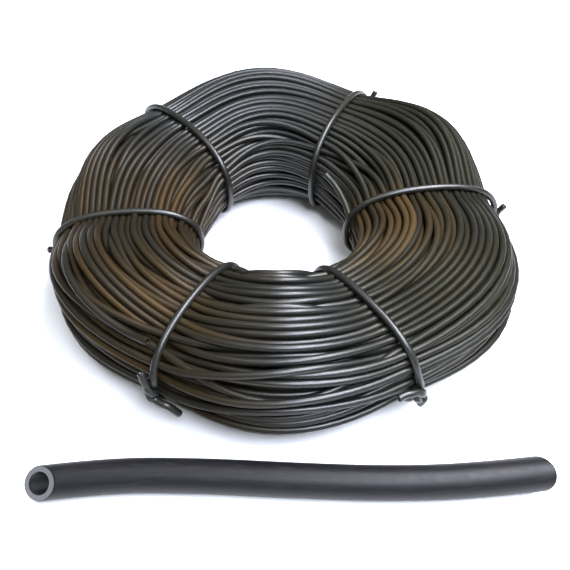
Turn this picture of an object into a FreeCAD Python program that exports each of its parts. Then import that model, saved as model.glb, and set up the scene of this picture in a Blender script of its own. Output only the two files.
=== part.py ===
import FreeCAD, Part
import math
import os

# A wound coil of soft black soaker hose, held by six ties made of the same
# hose, with its two free ends, and a short cut length of large hose lying
# in front of it.  Millimetres, +Z up.  The origin is on the surface that the
# coil lies on, under the middle of the whole part.

V = FreeCAD.Vector

# ---------------------------------------------------------------- dimensions
hose_od = 6.35                 # outside diameter of the hose in the coil
hose_bore = 4.0                # bore of the same hose
d = hose_od

frame_x = -3.8                  # where the middle of the coil stands in the
frame_y = 11.5                 # part's own frame

# the six ties, counter-clockwise from the one on the right
tie_names = ["tie_right", "tie_back_right", "tie_back_left",
             "tie_left", "tie_front_left", "tie_front_right"]
tie_azimuth = [7.2, 62.9, 129.4, 182.0, 239.3, 301.8]      # degrees
tie_ring_radius = [144.8, 153.0, 158.1, 143.9, 130.3, 137.6]
tie_half_width = [72.6, 70.6, 75.5, 65.8, 64.0, 64.2]
tie_half_height = [39.8, 47.6, 43.4, 35.0, 36.8, 38.7]
tie_lift = 9.0                 # the tie's own hose passes under the bundle
tie_slant = [0.4, -0.3, 0.9, 2.1, 1.6, 1.4]   # degrees over the half width

# the six lobes, each between one tie and the next
lobe_ring_radius = [152.0, 163.3, 142.7, 145.0, 141.5, 152.9]
lobe_half_width = [74.2, 68.0, 69.0, 65.9, 64.6, 73.2]
lobe_half_height = [61.5, 62.2, 58.3, 58.6, 53.7, 57.0]
lobe_fullness = 1.15           # how gently a lobe rises from its tie
tie_seat = 0.03                # part of the way to the next tie held flat

section_power_top = 2.4        # roundness of the bundle's upper half
section_power_bottom = 3.0     # flatter where the bundle rests

ring_steps = 12                # rows of surface poles from tie to tie
section_steps = 32             # poles round the section

# where each tie is knotted: degrees above its outer side, or below it
knot_angle = [-12.0, 12.0, -26.0, -26.0, 0.0, -6.0]

# the short length of large hose
cut_od = 26.5
cut_bore = 16.4
cut_left_bevel = 48.0          # degrees from square
cut_right_bevel = 33.0
cut_points = [(-195.6, -240.0), (-126.8, -231.0), (-55.3, -231.8),
              (16.2, -235.6), (86.2, -238.0), (152.7, -236.0),
              (215.2, -228.8)]

os.makedirs("parts", exist_ok=True)


# ------------------------------------------------------------------- section
def ring_values(u_total):
    """Middle radius, half width, half height and lift at a place on the ring.
    u_total runs from 0 at the first tie to 6 back at the first tie."""
    k = int(math.floor(u_total)) % 6
    u = u_total - math.floor(u_total)
    n = (k + 1) % 6
    a0 = tie_azimuth[k]
    a1 = tie_azimuth[n] + (360.0 if n == 0 else 0.0)
    az = a0 + (a1 - a0) * u
    v = (u - tie_seat) / (1.0 - 2.0 * tie_seat)
    w = math.sin(math.pi * v) ** lobe_fullness if 0.0 < v < 1.0 else 0.0
    s = u * u * (3.0 - 2.0 * u)

    def mix(t, lobe):
        return (t[k] * (1.0 - s) + t[n] * s) * (1.0 - w) + lobe[k] * w
    return (az, mix(tie_ring_radius, lobe_ring_radius),
            mix(tie_half_width, lobe_half_width),
            mix(tie_half_height, lobe_half_height), tie_lift * (1.0 - w))


def section_point(values, angle, grow=0.0):
    """Radius and height of the bundle's outline at an angle round it."""
    az, ring, a, b, lift = values
    c, s = math.cos(angle), math.sin(angle)
    p = section_power_top if s >= 0.0 else section_power_bottom
    x = math.copysign(abs(c) ** (2.0 / p), c)
    z = math.copysign(abs(s) ** (2.0 / p), s)
    return ring + (a + grow) * x, lift + b + (b + grow) * z


def even_section(values, count, grow=0.0, start=0.0):
    """Evenly spaced points round the outline, as (radius, height)."""
    fine = 720
    pts = [section_point(values, start + 2.0 * math.pi * i / fine, grow)
           for i in range(fine + 1)]
    run = [0.0]
    for i in range(fine):
        run.append(run[-1] + math.hypot(pts[i + 1][0] - pts[i][0],
                                        pts[i + 1][1] - pts[i][1]))
    out, j = [], 0
    for i in range(count):
        want = run[-1] * i / count
        while run[j + 1] < want:
            j += 1
        t = (want - run[j]) / max(run[j + 1] - run[j], 1e-9)
        out.append((pts[j][0] + (pts[j + 1][0] - pts[j][0]) * t,
                    pts[j][1] + (pts[j + 1][1] - pts[j][1]) * t))
    return out, run[-1]


def place(radius, azimuth, z, along=0.0):
    """A point of the coil in the part's frame; along is sideways, round the ring."""
    t = math.radians(azimuth)
    return V(frame_x + radius * math.cos(t) - along * math.sin(t),
             frame_y + radius * math.sin(t) + along * math.cos(t), z)


# --------------------------------------------------------------------- tubes
def smooth_path(points, name):
    """Straight runs joined by tangent arcs, each as large as its runs allow."""
    edges, radii = [], []
    start = points[0]
    for i in range(1, len(points) - 1):
        p = points[i]
        a, b = points[i - 1] - p, points[i + 1] - p
        la, lb = a.Length, b.Length
        a, b = a * (1.0 / la), b * (1.0 / lb)
        turn = math.pi - a.getAngle(b)
        t = 0.45 * min(la, lb)
        if turn < math.radians(0.4):
            continue
        radius = t / math.tan(turn / 2.0)
        radii.append(radius)
        p0, p1 = p + a * t, p + b * t
        bis = (a + b)
        bis.normalize()
        mid = p + bis * (radius / math.cos(turn / 2.0) - radius)
        edges.append(Part.LineSegment(start, p0).toShape())
        edges.append(Part.Arc(p0, mid, p1).toShape())
        start = p1
    edges.append(Part.LineSegment(start, points[-1]).toShape())
    wire = Part.Wire(edges)
    print(name, "length %.1f" % wire.Length, "arc radii",
          " ".join("%.1f" % r for r in radii))
    return wire


def tube(points, od, bore, name):
    wire = smooth_path(points, name)
    first = points[1] - points[0]
    first.normalize()
    disc = Part.Face(Part.Wire(Part.makeCircle(od / 2.0, points[0], first)))
    hole = Part.Face(Part.Wire(Part.makeCircle(bore / 2.0, points[0], first)))
    solid = wire.makePipe(disc.cut(hole).Faces[0])
    if solid.ShapeType != "Solid":
        solid = solid.Solids[0]
    want = math.pi / 4.0 * (od * od - bore * bore) * wire.Length
    print("   volume %.0f, section times length %.0f, valid %s"
          % (solid.Volume, want, solid.isValid()))
    return solid


# --------------------------------------------------------- the wound bundle
rows = []
for k in range(6 * ring_steps):
    values = ring_values(k / float(ring_steps))
    row, girth = even_section(values, section_steps)
    rows.append([place(r, values[0], z + 0.15) for r, z in row])
nu, nv = len(rows), section_steps
# poles moved out until the surface passes through the rows
poles = [list(row) for row in rows]
for step in range(6):
    half = [[(poles[i][(j - 1) % nv] + poles[i][j] * 4.0 + poles[i][(j + 1) % nv]) * (1.0 / 6.0)
             for j in range(nv)] for i in range(nu)]
    poles = [[poles[i][j] + rows[i][j]
              - (half[(i - 1) % nu][j] + half[i][j] * 4.0 + half[(i + 1) % nu][j]) * (1.0 / 6.0)
              for j in range(nv)] for i in range(nu)]
surface = Part.BSplineSurface()
surface.buildFromPolesMultsKnots(
    poles, [1] * (nu + 1), [1] * (nv + 1),
    [float(i) for i in range(nu + 1)], [float(i) for i in range(nv + 1)],
    True, True, 3, 3)
shell = Part.Shell([surface.toShape()])
coil = Part.Solid(shell)
if coil.Volume < 0:
    coil.reverse()
print("coil_winding volume %.0f valid %s closed %s" %
      (coil.Volume, coil.isValid(), shell.isClosed()), coil.BoundBox)

shapes = {"coil_winding": coil}


# -------------------------------------------------------------------- the ties
def tie_points(k):
    values = ring_values(float(k))
    az, ring, a, b, lift = values
    # the loop: from the knot up the outer side, over the top, down the inner
    # wall, under the bundle and back up to the knot
    count = 20
    fine = 900
    start = math.radians(knot_angle[k])
    outline = [section_point(values, start + 2.0 * math.pi * i / fine, 0.84 * d)
               for i in range(fine + 1)]
    run = [0.0]
    for i in range(fine):
        run.append(run[-1] + math.hypot(outline[i + 1][0] - outline[i][0],
                                        outline[i + 1][1] - outline[i][1]))
    loop, j = [], 0
    for i in range(count + 1):
        want = run[-1] * (0.025 + 0.95 * i / count)
        while j < fine - 1 and run[j + 1] < want:
            j += 1
        t = (want - run[j]) / max(run[j + 1] - run[j], 1e-9)
        r = outline[j][0] + (outline[j + 1][0] - outline[j][0]) * t
        z = outline[j][1] + (outline[j + 1][1] - outline[j][1]) * t
        x = r - ring
        z = max(z, 0.56 * d + 0.0021 * x * x)
        # the two strands lie side by side at the knot
        side = 0.62 * d * math.cos(math.pi * i / float(count))
        near = math.exp(-((i / 2.2) ** 2)) + math.exp(-(((count - i) / 2.2) ** 2))
        along = side * near + r * math.radians(tie_slant[k]) * x / a
        loop.append(place(r, az, z, along))
    # tails: one leaves upwards to one side, the other down to the other side
    r_k, z_k = section_point(values, start, 0.86 * d)
    sl = r_k * math.radians(tie_slant[k]) * (r_k - ring) / a
    up = 1.0 if k % 2 else -1.0
    first_out = [place(r_k + 0.1 * d, az, z_k - 0.2 * d, sl + 0.85 * d),
                 place(r_k + 0.55 * d, az, max(z_k - 1.7 * d, 0.62 * d), sl + 1.9 * d)]
    last_out = [place(r_k + 0.1 * d, az, z_k + 0.2 * d, sl - 0.85 * d),
                place(r_k + 0.55 * d, az, z_k + 1.6 * d, sl - 2.1 * d)]
    return list(reversed(first_out)) + loop + last_out


for k, name in enumerate(tie_names):
    shapes[name] = tube(tie_points(k), hose_od, hose_bore, name)


# -------------------------------------------------- the two free ends
def on_bundle(azimuth, angle, away):
    """A point off the bundle's surface, away from it along its own normal."""
    t = azimuth % 360.0
    for k in range(6):
        n = (k + 1) % 6
        a0 = tie_azimuth[k]
        a1 = tie_azimuth[n] + (360.0 if n == 0 else 0.0)
        tt = t if t >= tie_azimuth[0] else t + 360.0
        if a0 <= tt <= a1:
            values = ring_values(k + (tt - a0) / (a1 - a0))
            break
    q = math.radians(angle)
    r0, z0 = section_point(values, q - 0.01)
    r1, z1 = section_point(values, q + 0.01)
    tr, tz = r1 - r0, z1 - z0
    n = math.hypot(tr, tz)
    r, z = section_point(values, q)
    return place(r + away * tz / n, azimuth, z - away * tr / n)


def turned(point, way_in, way_out, runs):
    """Points that carry on from a point, turning evenly from one way to another."""
    out = []
    for i, run in enumerate(runs):
        t = (i + 1.0) / len(runs)
        way = way_in * (1.0 - t) + way_out * t
        way.normalize()
        point = point + way * run
        out.append(point)
    return out


def free_end(stations, way_out, runs):
    """A hose laid on the bundle through stations, its last stretch lifting off."""
    laid = [on_bundle(azimuth, angle, away * d) for azimuth, angle, away in stations]
    way_in = laid[-1] - laid[-2]
    way_in.normalize()
    way_out.normalize()
    return laid + turned(laid[-1], way_in, way_out, runs)


# the inner end: along the inner wall at the back right, its last stretch
# lifting off, up and across the eye of the coil
inner_route = free_end([(13.4, 175.5, 0.60), (20.6, 175.5, 0.60), (27.7, 175.5, 0.62)],
                       V(-0.65, 0.30, 0.55), [10.5, 9.5, 9.0])
# the outer end: along the outer shoulder, lifting off just before the front
# left tie
outer_route = free_end([(221.6, 44.0, 0.64), (225.8, 44.0, 0.64), (230.0, 44.0, 0.65)],
                       V(0.75, -0.55, 0.38), [12.0, 10.0, 9.5])
shapes["hose_inner_end"] = tube(inner_route, hose_od, hose_bore, "hose_inner_end")
shapes["hose_outer_end"] = tube(outer_route, hose_od, hose_bore, "hose_outer_end")


# ----------------------------------------------- the short length of large hose
pts = [V(frame_x + x, frame_y + y, cut_od / 2.0) for x, y in cut_points]
body = tube(pts, cut_od, cut_bore, "cut_length")


def bevel(shape, point, outward, degrees):
    """Cuts the end off at a slant, the face turned towards the front and up."""
    side = V(0.0, -0.47, 0.88)
    normal = outward * math.cos(math.radians(degrees)) + side * math.sin(math.radians(degrees))
    normal.normalize()
    block = Part.makeBox(120.0, 120.0, 60.0, V(-60.0, -60.0, 0.0))
    block.Placement = FreeCAD.Placement(point, FreeCAD.Rotation(V(0, 0, 1), normal))
    return shape.cut(block)


left_dir = (pts[0] - pts[1])
left_dir.normalize()
right_dir = (pts[-1] - pts[-2])
right_dir.normalize()
left_at = pts[0] - left_dir * 16.0
right_at = pts[-1] - right_dir * 11.0
for label, end, back in (("inner end", inner_route[-1], inner_route[-2]),
                         ("outer end", outer_route[-1], outer_route[-2]),
                         ("cut left", left_at, pts[1]), ("cut right", right_at, pts[-2])):
    way = end - back
    reach = way.Length
    way.normalize()
    print("mouth %s at %.5f %.5f %.5f way %.7f %.7f %.7f run %.1f"
          % (label, end.x, end.y, end.z, way.x, way.y, way.z, reach))
body = bevel(body, left_at, left_dir, cut_left_bevel)
body = bevel(body, right_at, right_dir, -cut_right_bevel)
body = body.Solids[0]
shapes["cut_length"] = body
print("cut_length", body.isValid(), body.BoundBox)

# ---------------------------------------------------------------------- output
for name, shape in shapes.items():
    shape.exportStep("parts/" + name + ".step")

low = [min(getattr(s.BoundBox, a) for s in shapes.values()) for a in ("XMin", "YMin", "ZMin")]
high = [max(getattr(s.BoundBox, a) for s in shapes.values()) for a in ("XMax", "YMax", "ZMax")]
print("box", ["%.2f" % v for v in low], ["%.2f" % v for v in high],
      "middle %.2f %.2f" % ((low[0] + high[0]) / 2, (low[1] + high[1]) / 2))
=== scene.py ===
import math

import bpy
import numpy as np
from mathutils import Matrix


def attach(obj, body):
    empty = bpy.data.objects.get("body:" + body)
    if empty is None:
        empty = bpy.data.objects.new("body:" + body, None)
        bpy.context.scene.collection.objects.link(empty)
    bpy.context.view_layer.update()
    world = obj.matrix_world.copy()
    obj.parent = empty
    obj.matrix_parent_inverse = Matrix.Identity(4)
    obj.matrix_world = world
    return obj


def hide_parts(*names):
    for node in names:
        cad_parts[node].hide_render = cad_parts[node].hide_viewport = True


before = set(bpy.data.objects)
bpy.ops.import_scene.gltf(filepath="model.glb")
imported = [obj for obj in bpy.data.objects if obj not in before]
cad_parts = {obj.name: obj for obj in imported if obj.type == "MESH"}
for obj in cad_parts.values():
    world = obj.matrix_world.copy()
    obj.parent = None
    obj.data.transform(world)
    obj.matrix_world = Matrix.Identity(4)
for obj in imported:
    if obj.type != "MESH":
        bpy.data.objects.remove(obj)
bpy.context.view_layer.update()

# A wound coil of soft black soaker hose, its turns laid one by one, six ties
# of the same hose knotted round it, and a cut length of larger hose in front.
# Everything is in metres in the row frame; the tables below are millimetres.

# ------------------------------------------------------------------ camera
camera_data = bpy.data.cameras.new("view")
camera_data.sensor_width = 36.0
camera_data.lens = 38.505
camera_data.clip_start = 0.02
camera_data.clip_end = 50.0
camera = bpy.data.objects.new("view", camera_data)
camera.location = (0.00440, -0.42519, 0.46034)
camera.rotation_euler = (math.radians(41.991), 0.0, 0.0)
bpy.context.scene.collection.objects.link(camera)
bpy.context.scene.camera = camera

# --------------------------------------------------------------- the sizes
D = 6.35                       # the hose of the coil and of the ties
BORE = 4.0
CX, CY = -3.8, 11.5             # middle of the coil
TIE_AZ = np.array([7.2, 62.9, 129.4, 182.0, 239.3, 301.8])
TIE_R = np.array([144.8, 153.0, 158.1, 143.9, 130.3, 137.6])
TIE_A = np.array([72.6, 70.6, 75.5, 65.8, 64.0, 64.2])
TIE_B = np.array([39.8, 47.6, 43.4, 35.0, 36.8, 38.7])
TIE_SLANT = [0.4, -0.3, 0.9, 2.1, 1.6, 1.4]
LIFT = 9.0
LOBE_R = np.array([152.7, 163.3, 143.1, 146.0, 142.0, 155.3])
LOBE_A = np.array([75.3, 68.2, 69.5, 66.9, 65.8, 75.6])
LOBE_B = np.array([61.5, 62.2, 58.3, 58.6, 53.7, 57.0])
FULL, SEAT, PT, PB = 1.15, 0.03, 2.4, 3.0
KNOT_ANGLE = [-12.0, -2.0, -26.0, -26.0, 0.0, -6.0]


def ring(U):
    """Azimuth, middle radius, half width, half height, lift and looseness at
    places on the ring, 0 to 6 from the tie on the right and back to it."""
    U = np.mod(U, 6.0)
    k = np.floor(U).astype(int) % 6
    u = U - np.floor(U)
    n = (k + 1) % 6
    az = TIE_AZ[k] + (TIE_AZ[n] + np.where(n == 0, 360.0, 0.0) - TIE_AZ[k]) * u
    v = np.clip((u - SEAT) / (1 - 2 * SEAT), 0, 1)
    w = np.sin(np.pi * v) ** FULL
    s = u * u * (3 - 2 * u)

    def mix(T, L):
        return (T[k] * (1 - s) + T[n] * s) * (1 - w) + L[k] * w
    return az, mix(TIE_R, LOBE_R), mix(TIE_A, LOBE_A), mix(TIE_B, LOBE_B), LIFT * (1 - w), w


def u_of(azimuth):
    t = (azimuth - TIE_AZ[0]) % 360.0 + TIE_AZ[0]
    for k in range(6):
        a1 = TIE_AZ[(k + 1) % 6] + (360.0 if k == 5 else 0.0)
        if TIE_AZ[k] <= t <= a1:
            return k + (t - TIE_AZ[k]) / (a1 - TIE_AZ[k])
    return 0.0


def outline(values, q, grow=0.0):
    """Radius and height of the bundle's outline at an angle round its section."""
    az, R, A, B, lift, w = [float(x) for x in values]
    c, s = math.cos(q), math.sin(q)
    p = PT if s >= 0 else PB
    x = math.copysign(abs(c) ** (2.0 / p), c)
    z = math.copysign(abs(s) ** (2.0 / p), s)
    return R + (A + grow) * x, lift + B + (B + grow) * z


def place(radius, azimuth, z, along=0.0):
    t = math.radians(azimuth)
    return np.array([CX + radius * math.cos(t) - along * math.sin(t),
                     CY + radius * math.sin(t) + along * math.cos(t), z])


def on_bundle(azimuth, angle, away):
    """A point off the bundle's surface, as (radius, height) and as a place."""
    values = [x[0] for x in ring(np.array([u_of(azimuth)]))]
    q = math.radians(angle)
    r0, z0 = outline(values, q - 0.01)
    r1, z1 = outline(values, q + 0.01)
    tr, tz = r1 - r0, z1 - z0
    n = math.hypot(tr, tz)
    r, z = outline(values, q)
    r, z = r + away * tz / n, z - away * tr / n
    return (r, z), place(r, azimuth, z)


# ------------------------------------------------- the free ends' own routes
def turned(point, way_in, way_out, runs):
    out = []
    for i, run in enumerate(runs):
        t = (i + 1.0) / len(runs)
        way = way_in * (1.0 - t) + way_out * t
        way = way / np.linalg.norm(way)
        point = point + way * run
        out.append(point)
    return out


def free_end(stations, way_out, runs):
    laid = [on_bundle(a, q, away * D)[1] for a, q, away in stations]
    way_in = laid[-1] - laid[-2]
    way_in = way_in / np.linalg.norm(way_in)
    way_out = np.array(way_out) / np.linalg.norm(way_out)
    return laid + turned(laid[-1], way_in, way_out, runs)


INNER_ANGLE, OUTER_ANGLE = 175.5, 44.0
inner_route = free_end([(13.4, INNER_ANGLE, 0.60), (20.6, INNER_ANGLE, 0.60), (27.7, INNER_ANGLE, 0.62)],
                       (-0.65, 0.30, 0.55), [10.5, 9.5, 9.0])
outer_route = free_end([(221.6, OUTER_ANGLE, 0.64), (225.8, OUTER_ANGLE, 0.64), (230.0, OUTER_ANGLE, 0.65)],
                       (0.75, -0.55, 0.38), [12.0, 10.0, 9.5])


# ------------------------------------------------------------- the winding
def wind(N=208, S=48, iters=300, seed=7):
    """The hose's turns, relaxed into the bundle: two lengths, one from the
    inner free end outwards and one from the outer free end inwards, both
    laid clockwise.  Returns the control points, in millimetres, and where
    the second length starts."""
    rng = np.random.default_rng(seed)
    U = np.mod(0.75 - np.arange(S) / (S / 6.0), 6.0)
    az, R, A, B, lift, w = ring(U)
    # the turns swing sideways between two ties more gently than they rise
    k_, u_ = np.floor(U).astype(int) % 6, U - np.floor(U)
    n_, s_, swing = (k_ + 1) % 6, u_ * u_ * (3 - 2 * u_), np.sin(np.pi * u_) ** 1.7
    R = (TIE_R[k_] * (1 - s_) + TIE_R[n_] * s_) * (1 - swing) + LOBE_R[k_] * swing
    A = (TIE_A[k_] * (1 - s_) + TIE_A[n_] * s_) * (1 - swing) + LOBE_A[k_] * swing
    ai, bi = A - 0.5 * D, B - 0.5 * D
    zc = lift + B
    am, bm = 10.4, 5.35
    for step in np.arange(1.12, 0.80, -0.002):
        cols = []
        nx = int(am / (0.866 * step)) + 1
        for i in range(-nx, nx + 1):
            x = i * 0.866 * step
            if abs(x) > am:
                continue
            zs = np.arange(-12, 13) * step + 0.5 * step * (i % 2)
            zs = zs[(np.abs(x / am) ** 2.5 + np.abs(zs / bm) ** 2.5) <= 1.0]
            cols.append([(x / am, z / bm) for z in zs])
        if sum(len(c) for c in cols) >= N:
            break
    sites = []
    for j, c in enumerate(cols):
        sites += c if j % 2 == 0 else c[::-1]
    sites = np.array([sites[int(round(i))] for i in np.linspace(0, len(sites) - 1, N)])
    NA = N // 2
    sB0 = int(round((0.75 - 4.0) % 6.0 * S / 6.0)) % S
    firstA, firstB = 4, 2
    kA, kB = np.arange(firstA, NA * S), np.arange(firstB, (N - NA) * S)
    sA, sB = kA % S, (kB + sB0) % S

    def track(k, seq):
        jit = rng.uniform(-0.33, 0.33, len(seq) + 1) * S
        edge = np.arange(len(seq) + 1) * S + jit
        edge[0] = -1
        return seq[np.clip(np.searchsorted(edge, k, side='right') - 1, 0, len(seq) - 1)]
    Q = np.concatenate([track(kA, sites[:NA]), track(kB, sites[::-1][:N - NA])])
    sec = np.concatenate([sA, sB])
    n, nA = len(Q), len(kA)
    link = np.ones(n, bool)
    link[nA - 1] = False
    link[-1] = False

    def noise(count, per, amp):
        g = rng.normal(0, 1, (count // per + 4, 2))
        x = np.arange(count) / per
        i = x.astype(int)
        f = (x - i)[:, None]
        f = f * f * (3 - 2 * f)
        return amp * (g[i] * (1 - f) + g[i + 1] * f)
    wander = np.concatenate([noise(len(kA), S // 3, 1), noise(len(kB), S // 3, 1)])
    front = 0.5 - 0.5 * np.sin(np.radians(az))
    amp = (0.012 + 0.10 * front ** 3)[sec][:, None]
    Q = Q + wander * amp * np.array([1.0, 1.5])
    depth = 1.0 + 0.022 * np.concatenate([noise(len(kA), S // 4, 1), noise(len(kB), S // 4, 1)])[:, 0]
    depth = np.clip(depth, 0.93, 1.03)
    a_, b_, R_, z_, w_ = ai[sec], bi[sec], R[sec], zc[sec], w[sec]
    sc = np.stack([a_, b_], 1) / D
    nxt = np.where(link, np.arange(n) + 1, np.arange(n))
    prv = np.zeros(n, int)
    prv[1:] = np.where(link[:-1], np.arange(n - 1), np.arange(1, n))
    # the first places of each length are held where the free ends come in
    pin, pin_at = [], []
    for i, place_at, q, away in [(0, sA[0], INNER_ANGLE, 0.42), (1, sA[1], INNER_ANGLE, 0.05), (2, sA[2], INNER_ANGLE - 2, -0.45),
                           (nA, sB[0], OUTER_ANGLE, 0.42), (nA + 1, sB[1], OUTER_ANGLE, 0.05),
                           (nA + 2, sB[2], OUTER_ANGLE, -0.35)]:
        (r, z), _ = on_bundle(az[place_at], q, away * D)
        pin.append(i)
        pin_at.append([(r - R_[i]) / D / sc[i, 0], (z - z_[i]) / D / sc[i, 1]])
    pin, pin_at = np.array(pin), np.array(pin_at)
    Q[pin] = pin_at
    sec_idx = [np.where(sec == s)[0] for s in range(S)]
    mid_idx = [ix[link[ix]] for ix in sec_idx]

    def pairs(X, idx_list, reach):
        I, J = [], []
        for idx in idx_list:
            x = X[idx]
            dx = x[:, None, 0] - x[None, :, 0]
            dz = x[:, None, 1] - x[None, :, 1]
            i, j = np.nonzero(np.triu(dx * dx + dz * dz < reach * reach, 1))
            I.append(idx[i])
            J.append(idx[j])
        return np.concatenate(I), np.concatenate(J)

    def phys(Q):
        return np.stack([R_ / D + Q[:, 0] * sc[:, 0], z_ / D + Q[:, 1] * sc[:, 1]], 1)
    turn = np.concatenate([kA // S, 500 + kB // S])
    front_lobe = (np.floor(U).astype(int) % 6 == 4)[sec]
    bulge = rng.normal(0, 1, (1000, 2))[turn] * np.array([0.17, 0.36]) * (w_ * front_lobe)[:, None]
    loosened = iters - 22
    for it in range(iters):
        if loosened <= it < loosened + 8:
            Q = Q + bulge / 8.0
        X = phys(Q)
        if it % 8 == 0:
            I, J = pairs(X, sec_idx, 1.5)
            M = 0.5 * (X + X[nxt])
            MI, MJ = pairs(M, mid_idx, 1.4)
        if it < 0.8 * iters:
            Q = Q * (1.0 + 0.005 * w_[:, None])
        al = 0.5 if it < loosened else 0.25
        Q = Q + al * (0.5 * (Q[nxt] + Q[prv]) - Q)
        for sub in range(2):
            X = phys(Q)
            d = X[I] - X[J]
            L = np.sqrt((d * d).sum(1)) + 1e-9
            c = np.maximum(0, 1.0 - L) / L * 0.5 * 0.7
            cx, cz = d[:, 0] * c, d[:, 1] * c
            dx = np.bincount(I, cx, n) - np.bincount(J, cx, n)
            dz = np.bincount(I, cz, n) - np.bincount(J, cz, n)
            M = 0.5 * (X + X[nxt])
            d = M[MI] - M[MJ]
            L = np.sqrt((d * d).sum(1)) + 1e-9
            c = np.maximum(0, 0.99 - L) / L * 0.5 * 0.5
            cx, cz = d[:, 0] * c, d[:, 1] * c
            for p, q in ((MI, MJ), (nxt[MI], nxt[MJ])):
                dx += 0.5 * (np.bincount(p, cx, n) - np.bincount(q, cx, n))
                dz += 0.5 * (np.bincount(p, cz, n) - np.bincount(q, cz, n))
            move = np.stack([dx, dz], 1)
            ln = np.sqrt((move ** 2).sum(1))
            move *= np.minimum(1, 0.25 / (ln + 1e-9))[:, None]
            Q = Q + move / sc
            pw = np.where(Q[:, 1] > 0, PT, PB)
            F = (np.abs(Q[:, 0]) ** pw + np.abs(Q[:, 1]) ** pw) ** (1 / pw) / depth
            Q = Q / np.maximum(F, 1.0)[:, None]
            Q[pin] = pin_at
    # the turns' last unevenness is eased out along the hose
    for _ in range(2):
        Q = Q + 0.5 * (0.5 * (Q[nxt] + Q[prv]) - Q)
        Q[pin] = pin_at
    X = phys(Q)
    for _ in range(2):
        r_ = X[:, 0] + 0.5 * np.sqrt(w_) * (0.5 * (X[nxt, 0] + X[prv, 0]) - X[:, 0])
        r_[pin] = X[pin, 0]
        X[:, 0] = r_
    # and those on the eye's side rise less than the outer ones
    low = TIE_B[k_] * (1 - s_) + TIE_B[n_] * s_
    less = np.array([0.66, 0.38, 0.50, 0.40, 0.0, 0.34])[k_]
    inner = np.clip((0.75 - Q[:, 0]) / 0.9, 0, 1)
    inner = inner * inner * (3 - 2 * inner)
    inner[pin] = 0.0
    X[:, 1] -= inner * (less * w * (LOBE_B[k_] - low))[sec] * (1 + Q[:, 1]) / D
    # the turns are pushed apart once more where they still pass into each other
    first = X.copy()
    for it in range(24):
        if it % 4 == 0:
            I, J = pairs(X, sec_idx, 1.3)
        d = X[I] - X[J]
        L = np.sqrt((d * d).sum(1)) + 1e-9
        c = np.maximum(0, 0.97 - L) / L * 0.5 * 0.7
        cx, cz = d[:, 0] * c, d[:, 1] * c
        push = np.stack([np.bincount(I, cx, n) - np.bincount(J, cx, n), np.bincount(I, cz, n) - np.bincount(J, cz, n)], 1)
        push *= np.minimum(1, 0.2 / (np.sqrt((push ** 2).sum(1)) + 1e-9))[:, None]
        push[pin] = 0.0
        push = 0.5 * push + 0.25 * (push[nxt] + push[prv])
        push[pin] = 0.0
        X = X + push
        if it < 16:
            ease = 0.12 * (0.5 * (X[nxt] + X[prv]) - X) - 0.12 * (0.5 * (first[nxt] + first[prv]) - first)
            ease[pin] = 0.0
            X = X + ease
    th = np.radians(az)[sec]
    r = X[:, 0] * D
    z = np.maximum(X[:, 1] * D, 0.505 * D)
    return np.stack([CX + r * np.cos(th), CY + r * np.sin(th), z], 1), nA


# ------------------------------------------------------- lines and surfaces
def spline_line(points, name, resolution=2):
    """The points of the smooth line that a NURBS spline draws from the route."""
    curve = bpy.data.curves.new(name + "_line", "CURVE")
    curve.dimensions = "3D"
    spline = curve.splines.new("NURBS")
    spline.points.add(len(points) - 1)
    flat = np.ones((len(points), 4))
    flat[:, :3] = np.asarray(points) / 1000.0
    spline.points.foreach_set("co", flat.ravel())
    spline.order_u = 3
    spline.use_endpoint_u = True
    spline.resolution_u = resolution
    curve.resolution_u = resolution
    obj = bpy.data.objects.new(name + "_line", curve)
    mesh = bpy.data.meshes.new_from_object(obj)
    co = np.zeros(len(mesh.vertices) * 3)
    mesh.vertices.foreach_get("co", co)
    co = co.reshape(-1, 3)
    bpy.data.meshes.remove(mesh)
    bpy.data.objects.remove(obj)
    bpy.data.curves.remove(curve)
    keep = np.ones(len(co), bool)
    keep[1:] = np.linalg.norm(np.diff(co, axis=0), axis=1) > 1e-6
    return co[keep]


def frames(line, level=False):
    """Tangent and two normals along a line."""
    t = np.zeros_like(line)
    t[1:-1] = line[2:] - line[:-2]
    t[0], t[-1] = line[1] - line[0], line[-1] - line[-2]
    t /= np.linalg.norm(t, axis=1)[:, None]
    if level:
        up = np.array([0.0, 0.0, 1.0]) - t[:, 2:3] * t
        up /= np.linalg.norm(up, axis=1)[:, None]
        return t, up, np.cross(t, up)
    a = np.array([0.0, 0.0, 1.0]) if abs(t[0, 2]) < 0.9 else np.array([1.0, 0.0, 0.0])
    n = a - t[0] * (a @ t[0])
    n /= np.linalg.norm(n)
    out = [n]
    for i in range(1, len(line)):
        n = n - t[i] * (n @ t[i])
        n /= np.linalg.norm(n)
        out.append(n)
    u = np.array(out)
    return t, u, np.cross(t, u)


def ring_points(centre, u, v, radius, sides):
    q = np.arange(sides) * (2 * math.pi / sides)
    return (centre[None, :] + radius * (np.cos(q)[:, None] * u[None, :] + np.sin(q)[:, None] * v[None, :]))


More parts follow.
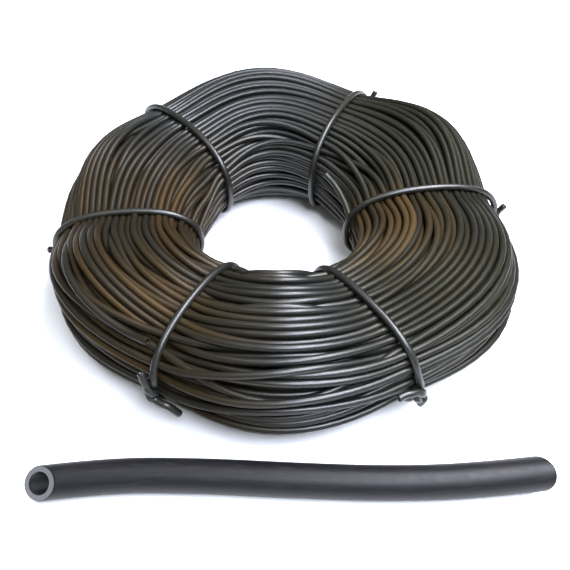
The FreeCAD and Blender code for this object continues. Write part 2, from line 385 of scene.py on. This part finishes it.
def tube(name, line, radius, sides, material, open_start=False, open_end=False, bore=0.0, level=False, shade_seed=0.0,
         cut_start=None, cut_end=None):
    """A mesh tube on a line.  An open end shows the cut face and the bore."""
    t, u, v = frames(line, level)
    run = np.concatenate([[0.0], np.cumsum(np.linalg.norm(np.diff(line, axis=0), axis=1))])
    q = np.arange(sides) * (2 * math.pi / sides)
    body = (line[:, None, :] + radius * (np.cos(q)[None, :, None] * u[:, None, :] + np.sin(q)[None, :, None] * v[:, None, :]))
    rows, along = [body[i] for i in range(len(line))], list(run)
    r_e = radius * 0.07

    def mouth(i, sign, cut):
        """Rings from the cut edge in over the face and down the bore."""
        c, n = line[i], t[i] * sign
        out = [ring_points(c + n * r_e * 0.0, u[i], v[i], radius, sides),
               ring_points(c + n * r_e * 0.7, u[i], v[i], radius - r_e * 0.3, sides),
               ring_points(c + n * r_e, u[i], v[i], radius - r_e, sides),
               ring_points(c + n * r_e, u[i], v[i], bore + r_e * 0.6, sides),
               ring_points(c + n * r_e * 0.6, u[i], v[i], bore, sides),
               ring_points(c - n * radius * 2.2, u[i], v[i], bore, sides),
               ring_points(c - n * radius * 2.3, u[i], v[i], bore * 0.05, sides)]
        if cut is not None:
            axis = np.array(cut, float)
            axis /= np.linalg.norm(axis)
            lean = [(n - axis * (n @ axis)) * 0 for _ in out]
            for k, o in enumerate(out[:5]):
                rel = o - c
                out[k] = o - n[None, :] * ((rel @ axis) / (n @ axis))[:, None]
        return out
    if open_end:
        extra = mouth(len(line) - 1, 1.0, cut_end)
        rows = rows[:-1] + extra
        along = along[:-1] + [run[-1] + 0.0004 * k for k in range(len(extra))]
    if open_start:
        extra = mouth(0, -1.0, cut_start)[::-1]
        rows = extra + rows[1:]
        along = [run[0] - 0.0004 * k for k in range(len(extra))][::-1] + along[1:]
    rows = np.array(rows)
    m = len(rows)
    verts = rows.reshape(-1, 3)
    i = np.arange(m - 1)[:, None] * sides
    j = np.arange(sides)[None, :]
    jn = (j + 1) % sides
    faces = np.stack([i + j, i + jn, i + sides + jn, i + sides + j], -1).reshape(-1, 4)
    mesh = bpy.data.meshes.new(name)
    mesh.vertices.add(len(verts))
    mesh.vertices.foreach_set("co", verts.ravel())
    caps = []
    if not open_start:
        caps.append(np.arange(sides)[::-1])
    if not open_end:
        caps.append((m - 1) * sides + np.arange(sides))
    loops = np.concatenate([faces.ravel()] + caps)
    totals = np.concatenate([np.full(len(faces), 4), np.full(len(caps), sides)]).astype(int)
    starts = np.concatenate([[0], np.cumsum(totals)[:-1]])
    mesh.loops.add(len(loops))
    mesh.loops.foreach_set("vertex_index", loops.astype(np.int32))
    mesh.polygons.add(len(totals))
    mesh.polygons.foreach_set("loop_start", starts.astype(np.int32))
    mesh.polygons.foreach_set("loop_total", totals.astype(np.int32))
    mesh.update(calc_edges=True)
    along = np.array(along)
    uv = np.zeros((len(loops), 2))
    row = np.repeat(np.arange(m - 1), sides)
    col = np.tile(np.arange(sides), m - 1)
    uq = np.stack([along[row], along[row], along[row + 1], along[row + 1]], 1)
    vq = np.stack([col, col + 1, col + 1, col], 1) / sides
    uv[:len(faces) * 4, 0] = uq.ravel() + shade_seed
    uv[:len(faces) * 4, 1] = vq.ravel()
    layer = mesh.uv_layers.new(name="along")
    layer.data.foreach_set("uv", uv.ravel())
    mesh.polygons.foreach_set("use_smooth", np.ones(len(totals), bool))
    mesh.validate()
    mesh.materials.append(material)
    obj = bpy.data.objects.new(name, mesh)
    bpy.context.scene.collection.objects.link(obj)
    return obj


# ---------------------------------------------------------------- materials
def rubber(name, dark, brown, ochre, rough, region=0.5, spec=0.5, grain=1.0, seed=0.0, olive=None, face=None):
    """Satin black hose: long changes of tint along each strand, a fine porous
    grain, dull scuffs that run with the hose and a little dust."""
    mat = bpy.data.materials.new(name)
    mat.use_nodes = True
    nt = mat.node_tree
    nt.nodes.clear()
    N, Lk = nt.nodes.new, nt.links.new
    out = N("ShaderNodeOutputMaterial")
    bsdf = N("ShaderNodeBsdfPrincipled")
    Lk(bsdf.outputs[0], out.inputs[0])
    uv = N("ShaderNodeUVMap")
    uv.uv_map = "along"
    geo = N("ShaderNodeTexCoord")

    def mapping(source, scale, loc=(0, 0, 0)):
        m = N("ShaderNodeMapping")
        m.inputs["Scale"].default_value = scale
        m.inputs["Location"].default_value = loc
        Lk(source, m.inputs["Vector"])
        return m.outputs[0]

    def noise(vec, scale, detail=2.0, rough_=0.5):
        n = N("ShaderNodeTexNoise")
        n.inputs["Scale"].default_value = scale
        n.inputs["Detail"].default_value = detail
        n.inputs["Roughness"].default_value = rough_
        Lk(vec, n.inputs["Vector"])
        return n.outputs["Fac"]

    def ramp(fac, stops):
        r = N("ShaderNodeValToRGB")
        el = r.color_ramp.elements
        el[0].position, el[0].color = stops[0][0], (*stops[0][1], 1)
        el[1].position, el[1].color = stops[-1][0], (*stops[-1][1], 1)
        for p, c in stops[1:-1]:
            e = el.new(p)
            e.color = (*c, 1)
        Lk(fac, r.inputs[0])
        return r.outputs[0]

    def mixc(fac, a, b, mode="MIX"):
        m = N("ShaderNodeMix")
        m.data_type = "RGBA"
        m.blend_type = mode
        if isinstance(fac, float):
            m.inputs[0].default_value = fac
        else:
            Lk(fac, m.inputs[0])
        Lk(a, m.inputs[6])
        Lk(b, m.inputs[7])
        return m.outputs[2]

    def math_(op, a, b=None, clamp=False):
        m = N("ShaderNodeMath")
        m.operation = op
        m.use_clamp = clamp
        for k, x in enumerate((a, b)):
            if x is None:
                continue
            if isinstance(x, (int, float)):
                m.inputs[k].default_value = x
            else:
                Lk(x, m.inputs[k])
        return m.outputs[0]
    # one slow change along the hose, about a tint per turn
    strand = noise(mapping(uv.outputs[0], (2.2, 0.0, 0.0), (seed, 0, 0)), 1.0, 3.0, 0.6)
    place_ = noise(mapping(geo.outputs["Object"], (1, 1, 1), (seed, 3, 0)), 7.0, 2.0)
    tint = math_("ADD", math_("MULTIPLY", strand, 1.0 - 0.4 * region), math_("MULTIPLY", place_, 0.4 * region))
    matt = None
    base = ramp(tint, [(0.30, dark), (0.46, tuple(0.6 * a + 0.4 * b for a, b in zip(dark, brown))), (0.56, brown), (0.70, ochre)])
    if olive:
        # brown with dust on the left and olive on the right, partly real tint and partly painted warm and olive
        # reflected light; plain black between
        at_ = N("ShaderNodeSeparateXYZ")
        Lk(geo.outputs["Object"], at_.inputs[0])
        x_, y_ = at_.outputs[0], at_.outputs[1]

        def slope(v, zero, one):
            k = 1.0 / (one - zero)
            return math_("ADD", math_("MULTIPLY", v, k), -zero * k, clamp=True)
        ragged_edge = math_("ADD", math_("MULTIPLY", place_, 0.9), -0.45)
        left = math_("MULTIPLY", slope(math_("ADD", x_, math_("MULTIPLY", ragged_edge, 0.12)), 0.015, -0.085), slope(y_, 0.130, 0.040))
        right = math_("MULTIPLY", slope(math_("ADD", x_, math_("MULTIPLY", ragged_edge, 0.12)), 0.010, 0.100), slope(y_, -0.195, -0.105))
        plain = N("ShaderNodeRGB")
        plain.outputs[0].default_value = (*tuple(0.8 * c for c in dark), 1)
        green = ramp(tint, [(0.34, dark), (0.60, olive), (0.74, brown)])
        base = mixc(left, plain.outputs[0], base)
        base = mixc(right, base, green)
        # a few browner turns just in front of the tie on the right
        browner_turns = ramp(tint, [(0.36, dark), (0.47, brown), (0.62, ochre)])
        patch = math_("MULTIPLY", slope(x_, 0.030, 0.065), slope(x_, 0.170, 0.110))
        patch = math_("MULTIPLY", patch, math_("MULTIPLY", slope(y_, 0.050, 0.015), slope(y_, -0.090, -0.030)))
        base = mixc(patch, base, browner_turns)
        matt = math_("ADD", math_("MULTIPLY", left, 0.92), right, clamp=True)
        # painted reflection: highlights tinted warm on the left, following the slow change along each strand, and
        # olive on the right
        painted_reflection_tints = []
        for rgb in ((1.0, 1.0, 1.0), (1.0, 0.78, 0.50), (0.95, 0.90, 0.66)):
            c = N("ShaderNodeRGB")
            c.outputs[0].default_value = (*rgb, 1)
            painted_reflection_tints.append(c.outputs[0])
        painted_warm_sheen = mixc(math_("MULTIPLY", left, math_("ADD", math_("MULTIPLY", strand, 1.6), 0.05, clamp=True), clamp=True), painted_reflection_tints[0], painted_reflection_tints[1])
        Lk(mixc(right, painted_warm_sheen, painted_reflection_tints[2]), bsdf.inputs["Specular Tint"])
    streak = noise(mapping(uv.outputs[0], (14.0, 9.0, 0.0), (0, seed, 0)), 4.0, 3.0, 0.6)
    dust = ramp(streak, [(0.50, (0, 0, 0)), (0.74, (1, 1, 1))])
    pale = N("ShaderNodeRGB")
    pale.outputs[0].default_value = (0.040, 0.037, 0.032, 1)
    base = mixc(math_("MULTIPLY", dust, 0.16), base, pale.outputs[0])
    if face:
        # freshly cut ends are paler than the skin
        part = N("ShaderNodeSeparateXYZ")
        Lk(uv.outputs[0], part.inputs[0])
        fresh = N("ShaderNodeRGB")
        fresh.outputs[0].default_value = (*face, 1)
        base = mixc(math_("GREATER_THAN", part.outputs[1], 2.0), base, fresh.outputs[0])
    Lk(base, bsdf.inputs["Base Color"])
    fine = noise(mapping(geo.outputs["Object"], (1, 1, 1)), 1500.0, 2.0, 0.7)
    scuff = noise(mapping(uv.outputs[0], (60.0, 5.0, 0.0)), 3.0, 3.0, 0.65)
    r = math_("ADD", math_("MULTIPLY", fine, 0.10), math_("MULTIPLY", scuff, 0.22))
    r = math_("ADD", r, rough - 0.16)
    r = math_("ADD", r, math_("MULTIPLY", dust, 0.10), clamp=True)
    if matt is not None:
        # dusty turns are duller than the clean ones
        r = math_("ADD", r, math_("MULTIPLY", matt, 0.13), clamp=True)
        Lk(math_("ADD", math_("MULTIPLY", matt, -0.74 * spec), spec), bsdf.inputs["Specular IOR Level"])
    Lk(r, bsdf.inputs["Roughness"])
    bump = N("ShaderNodeBump")
    bump.inputs["Strength"].default_value = 0.12 * grain
    bump.inputs["Distance"].default_value = 0.0004
    h = math_("ADD", math_("MULTIPLY", fine, 0.5), math_("MULTIPLY", scuff, 0.8))
    Lk(h, bump.inputs["Height"])
    Lk(bump.outputs[0], bsdf.inputs["Normal"])
    bsdf.inputs["IOR"].default_value = 1.52
    if matt is None:
        bsdf.inputs["Specular IOR Level"].default_value = spec
    return mat


coil_mat = rubber("hose_rubber", (0.0050, 0.0065, 0.0055), (0.016, 0.010, 0.004), (0.046, 0.028, 0.010), 0.35,
                  olive=(0.0090, 0.0082, 0.0045))
tie_mat = rubber("tie_rubber", (0.005, 0.0055, 0.005), (0.008, 0.008, 0.0055), (0.014, 0.012, 0.006), 0.35, region=0.2, seed=5.0)
cut_mat = rubber("cut_rubber", (0.005, 0.005, 0.006), (0.006, 0.006, 0.007), (0.007, 0.007, 0.008), 0.46, region=0.1, seed=9.0, spec=0.22,
                 face=(0.105, 0.105, 0.110))

# ---------------------------------------------------------- the coil's turns
P, nA = wind()
A = [*inner_route[::-1][:4], *P[:nA]]
B = [*outer_route[::-1][:4], *P[nA:]]


def shared(points, parts):
    cuts = [round(i * (len(points) - 1) / parts) for i in range(parts + 1)]
    return [points[a:b + 1] for a, b in zip(cuts, cuts[1:])]


strands = []
for label, points, node, parts in (("inner", A, "hose_inner_end", 2), ("outer", B, "hose_outer_end", 3)):
    for i, part in enumerate(shared(points, parts)):
        name = "turns_%s_%d" % (label, i + 1)
        line = spline_line(part, name)
        first = i == 0
        obj = tube(name, line, 0.00315, 12, coil_mat, open_start=first, bore=0.0020, level=False if first else True,
                   shade_seed=len(strands) * 61.0)
        length = float(np.linalg.norm(np.diff(line, axis=0), axis=1).sum())
        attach(obj, "coil")
        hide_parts("coil_winding", *([node] if first else []))
        strands.append((obj, length))
        print(name, "length %.2f m" % length, "faces", len(obj.data.polygons))


# ------------------------------------------------------------------ the ties
def tie_route(k, tail_p, tail_q, turn=1.0):
    """The tie's control points: out of one tail, round the knot, over the top
    of the bundle, down through the eye, under it and round the knot again."""
    values = [x[0] for x in ring(np.array([float(k)]))]
    az, R, A_, B_ = values[:4]
    fine = 1440
    q0 = math.radians(KNOT_ANGLE[k])
    qs = q0 + np.arange(fine + 1) * (2 * math.pi / fine)
    rz = np.array([outline(values, q) for q in qs])
    seg = np.linalg.norm(np.diff(rz, axis=0), axis=1)
    run = np.concatenate([[0.0], np.cumsum(seg)])
    total = run[-1]
    slant = math.radians(TIE_SLANT[k])

    def at(q, n, s):
        """q, n and s in diameters: up along the outline from the knot, out
        from it, and sideways along the ring."""
        d = (q * D) % total
        i = min(max(int(np.searchsorted(run, d)) - 1, 0), fine - 1)
        f = (d - run[i]) / max(seg[i], 1e-9)
        p = rz[i] * (1 - f) + rz[i + 1] * f
        a, b = rz[(i - 6) % fine], rz[(i + 7) % fine]
        tang = (b - a) / np.linalg.norm(b - a)
        nor = np.array([tang[1], -tang[0]])
        p = p + nor * n * D
        z = max(p[1], 0.53 * D)
        return place(p[0], az, z, s * D + p[0] * slant * (p[0] - R) / A_)
    rho, nc, reach = 0.56, 1.12, 1.15

    def helix(t):
        """Strand from above, at height t over the knot's middle."""
        q = math.radians(90.0 - 150.0 * turn * t / reach)
        return (t, nc - rho * math.cos(q), -rho * math.sin(q))
    heights = [reach, 0.72, 0.34, 0.0, -0.34, -0.72, -reach]
    down = [helix(t) for t in heights]                      # strand from above
    up = [(-t, n, -s) for t, n, s in down]                  # strand from below
    total_d = total / D
    loop = []
    count = 27
    for i in range(count + 1):
        q = 3.0 + (total_d - 6.0) * i / count
        # the tie on the back right bites into the turns beside its knot, the
        # two at the front bite in where they turn down into the eye
        bite = 0.34 * math.exp(-((q - 6.0) / 4.0) ** 2) if k == 1 else 0.0
        if k in (4, 5):
            bite = 0.06 * math.exp(-((q - 24.0) / 3.5) ** 2)
        loop.append((q, 0.60 - bite, 0.0))
    pts = [at(*p) for p in tail_p[::-1]] + [at(*p) for p in down[::-1]] + [at(2.0, 0.72, 0.25)] + \
          [at(*p) for p in loop] + [at(-2.0, 0.72, -0.25)] + [at(*p) for p in up] + [at(*p) for p in tail_q]
    return pts


# each tie's tails: (up, out, sideways) in diameters from the knot's middle,
# first of the strand that comes from above, then of the one from below
TAILS = {
    "tie_right": ([(-1.5, 1.3, 1.0), (-2.2, 1.2, 1.5)], [(1.6, 0.9, -0.7), (2.4, 1.1, 0.1), (3.0, 1.6, 0.1), (3.5, 2.1, 0.0)]),
    "tie_back_right": ([(-1.5, 1.3, 1.0), (-2.2, 1.0, 1.6)],
                       [(1.6, 0.9, -0.8), (2.7, 0.7, -0.7), (3.6, 0.9, -0.7), (4.1, 1.6, -0.9), (4.4, 2.2, -1.2)]),
    "tie_back_left": ([(-1.5, 1.3, 1.1), (-2.0, 1.0, 1.9)], [(1.3, 1.1, -1.1), (1.8, 1.0, -1.9)]),
    "tie_left": ([(-1.5, 1.3, 1.1), (-2.0, 1.0, 1.9)], [(1.5, 1.0, -0.9), (2.5, 1.1, -0.7), (3.1, 1.3, -0.3), (3.5, 1.6, 0.0)]),
    "tie_front_left": ([(-1.25, 1.45, 1.35), (-1.3, 1.25, 2.2), (-1.95, 1.1, 2.95), (-2.8, 1.1, 3.5)],
                       [(0.9, 1.5, -0.1), (1.6, 1.6, -0.6), (2.3, 1.6, -1.15)]),
    "tie_front_right": ([(-0.7, 1.7, 0.9), (-1.2, 1.9, 0.7), (-1.7, 2.0, 0.5)],
                        [(1.4, 1.3, -1.4), (1.5, 1.0, -2.3), (1.5, 1.0, -3.3)]),
}
names = ["tie_right", "tie_back_right", "tie_back_left", "tie_left", "tie_front_left", "tie_front_right"]
for k, name in enumerate(names):
    tail_p, tail_q = TAILS[name]
    line = spline_line(tie_route(k, tail_p, tail_q), name, resolution=5)
    obj = tube("looped_" + name, line, 0.00315, 20, tie_mat, open_start=True, open_end=True, bore=0.0020,
               shade_seed=300.0 + 3.1 * k)
    length = float(np.linalg.norm(np.diff(line, axis=0), axis=1).sum())
    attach(obj, "coil")
    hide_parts(name)
    print("looped_" + name, "length %.3f m" % length, "faces", len(obj.data.polygons))

# ------------------------------------------------- the cut length in front
CUT_OD, CUT_BORE = 26.5, 16.4
CUT_POINTS = [(-195.6, -240.0), (-126.8, -231.0), (-55.3, -231.8), (16.2, -235.6), (86.2, -238.0),
              (152.7, -236.0), (215.2, -228.8)]
cut_pts = np.array([[CX + x, CY + y, CUT_OD / 2] for x, y in CUT_POINTS])
left_dir = (cut_pts[0] - cut_pts[1]) / np.linalg.norm(cut_pts[0] - cut_pts[1])
right_dir = (cut_pts[-1] - cut_pts[-2]) / np.linalg.norm(cut_pts[-1] - cut_pts[-2])
left_at, right_at = cut_pts[0] - left_dir * 16.0, cut_pts[-1] - right_dir * 11.0
side = np.array([0.0, -0.47, 0.88])


def slanted(outward, degrees):
    n = outward * math.cos(math.radians(degrees)) + side * math.sin(math.radians(degrees))
    return n / np.linalg.norm(n)


route = [left_at, *cut_pts[1:-1], right_at]
line = spline_line(route, "cut_length", resolution=16)
left_cut, right_cut = slanted(left_dir, 52.0), slanted(right_dir, -33.0)


def hose_piece(name, line, radius, bore, sides, material, cuts, edge=0.0006, uv_scale=1.0):
    """A short thick hose, outside and bore, its ends cut on two planes."""
    t, u, v = frames(line)
    run = np.concatenate([[0.0], np.cumsum(np.linalg.norm(np.diff(line, axis=0), axis=1))])
    q = np.arange(sides) * (2 * math.pi / sides)
    m = len(line)
    (p0, n0), (p1, n1) = cuts

    def skin(r, inset):
        body = line[:, None, :] + r * (np.cos(q)[None, :, None] * u[:, None, :] + np.sin(q)[None, :, None] * v[:, None, :])
        # the two ends slide along the hose until they meet the cut planes
        for p, n, way, ends in ((p0, n0, t[0], "start"), (p1, n1, t[-1], "end")):
            base = p - n * inset
            flat = body.reshape(-1, 3)
            over = (flat - base) @ n / (way @ n)
            if ends == "start":
                # distance of each long line's own points past the plane
                for j in range(sides):
                    d = (body[:, j] - base) @ n
                    k = int(np.argmax(d < 0))
                    hit = body[k, j] - t[0] * (((body[k, j] - base) @ n) / (t[0] @ n))
                    for i in range(k):
                        body[i, j] = hit + (body[k, j] - hit) * (i / max(k, 1))
                    if k == 0:
                        body[0, j] = hit
            else:
                for j in range(sides):
                    d = (body[:, j] - base) @ n
                    k = m - 1 - int(np.argmax(d[::-1] < 0))
                    hit = body[k, j] - t[-1] * (((body[k, j] - base) @ n) / (t[-1] @ n))
                    for i in range(k + 1, m):
                        body[i, j] = body[k, j] + (hit - body[k, j]) * ((i - k) / max(m - 1 - k, 1))
                    if k == m - 1:
                        body[m - 1, j] = hit
        return body
    outer = skin(radius, edge)
    face_o = skin(radius - edge, 0.0)
    face_i = skin(bore + edge, 0.0)
    inner = skin(bore, edge)
    rows = [face_i[0], face_o[0]] + [outer[i] for i in range(m)] + [face_o[-1], face_i[-1]] + [inner[i] for i in range(m - 1, -1, -1)]
    along = [run[0]] * 2 + list(run) + [run[-1]] * 2 + list(run[::-1])
    rows = np.array(rows)
    total = len(rows)
    i = np.arange(total)[:, None]
    j = np.arange(sides)[None, :]
    nx = (i + 1) % total
    jn = (j + 1) % sides
    faces = np.stack([i * sides + j, i * sides + jn, nx * sides + jn, nx * sides + j], -1).reshape(-1, 4)
    mesh = bpy.data.meshes.new(name)
    mesh.from_pydata([tuple(x) for x in rows.reshape(-1, 3)], [], [tuple(int(a) for a in f) for f in faces])
    along = np.array(along)
    uv = np.zeros((total, sides, 4, 2))
    a0, a1 = along, np.roll(along, -1)
    uv[:, :, 0, 0] = uv[:, :, 1, 0] = a0[:, None]
    uv[:, :, 2, 0] = uv[:, :, 3, 0] = a1[:, None]
    c = np.arange(sides)[None, :] / sides
    uv[:, :, 0, 1] = uv[:, :, 3, 1] = c
    uv[:, :, 1, 1] = uv[:, :, 2, 1] = c + 1.0 / sides
    uv[[0, m + 2], :, :, 1] += 4.0
    layer = mesh.uv_layers.new(name="along")
    layer.data.foreach_set("uv", (uv * uv_scale).ravel())
    mesh.polygons.foreach_set("use_smooth", np.ones(len(mesh.polygons), bool))
    # the cut faces stay crisp against the outside and the bore
    sharp = mesh.attributes.new("sharp_edge", "BOOLEAN", "EDGE")
    flags = np.zeros(len(mesh.edges), bool)
    ev = np.zeros(len(mesh.edges) * 2, dtype=np.int32)
    mesh.edges.foreach_get("vertices", ev)
    ev = ev.reshape(-1, 2) // sides
    ring_of = ev[:, 0] == ev[:, 1]
    flags = ring_of & np.isin(ev[:, 0], [0, 1, m + 2, m + 3])
    sharp.data.foreach_set("value", flags)
    mesh.materials.append(material)
    obj = bpy.data.objects.new(name, mesh)
    bpy.context.scene.collection.objects.link(obj)
    return obj


long_line = line
first, last = long_line[0], long_line[-1]
step0 = (long_line[1] - long_line[0]) / np.linalg.norm(long_line[1] - long_line[0])
step1 = (long_line[-1] - long_line[-2]) / np.linalg.norm(long_line[-1] - long_line[-2])
long_line = np.concatenate([[first - step0 * d for d in (0.020, 0.016, 0.012, 0.008, 0.004)], long_line,
                            [last + step1 * d for d in (0.004, 0.008, 0.012, 0.016)]])
cut = hose_piece("cut_hose_length", long_line, CUT_OD / 2000.0, CUT_BORE / 2000.0, 64, cut_mat,
                 ((left_at / 1000.0, left_cut), (right_at / 1000.0, right_cut)))
cut_line = long_line[2:-2]
length = float(np.linalg.norm(np.diff(cut_line, axis=0), axis=1).sum())
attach(cut, "loose_length")
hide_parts("cut_length")
print("cut length %.3f m" % length)

# --------------------------------------------------- floor, light, background
floor_mesh = bpy.data.meshes.new("floor")
s = 6.0
floor_mesh.from_pydata([(-s, -s, -0.0002), (s, -s, -0.0002), (s, s, -0.0002), (-s, s, -0.0002)], [], [(0, 1, 2, 3)])
floor = bpy.data.objects.new("floor", floor_mesh)
bpy.context.scene.collection.objects.link(floor)
fm = bpy.data.materials.new("floor")
fm.use_nodes = True
fb = fm.node_tree.nodes["Principled BSDF"]
fb.inputs["Base Color"].default_value = (0.84, 0.84, 0.845, 1)
fb.inputs["Roughness"].default_value = 0.9
fb.inputs["Specular IOR Level"].default_value = 0.1
floor.data.materials.append(fm)

world = bpy.data.worlds.new("studio")
bpy.context.scene.world = world
world.use_nodes = True
bg = world.node_tree.nodes["Background"]
bg.inputs[0].default_value = (0.95, 1.0, 0.93, 1)
bg.inputs[1].default_value = 0.42


def area(name, at, to, size, power, colour):
    light = bpy.data.lights.new(name, "AREA")
    light.shape = "RECTANGLE"
    light.size, light.size_y = size
    light.energy = power
    light.color = colour
    obj = bpy.data.objects.new(name, light)
    obj.location = at
    d = np.array(to, float) - np.array(at, float)
    import mathutils
    obj.rotation_euler = mathutils.Vector(d).to_track_quat("-Z", "Y").to_euler()
    bpy.context.scene.collection.objects.link(obj)
    return obj


area("sky", (0.55, -0.42, 1.30), (0.05, 0, 0.05), (1.35, 0.62), 64.0, (0.81, 0.86, 1.0))
area("back_right", (0.50, 0.28, 1.25), (0, 0, 0.05), (0.70, 0.45), 31.0, (0.91, 0.89, 1.0))
area("left", (-0.60, 0.0, 1.20), (0, 0, 0.05), (0.4, 0.3), 3.6, (0.94, 0.95, 1.0))

scene = bpy.context.scene
scene.view_settings.view_transform = "Standard"
scene.view_settings.look = "None"
scene.view_settings.exposure = 0.0
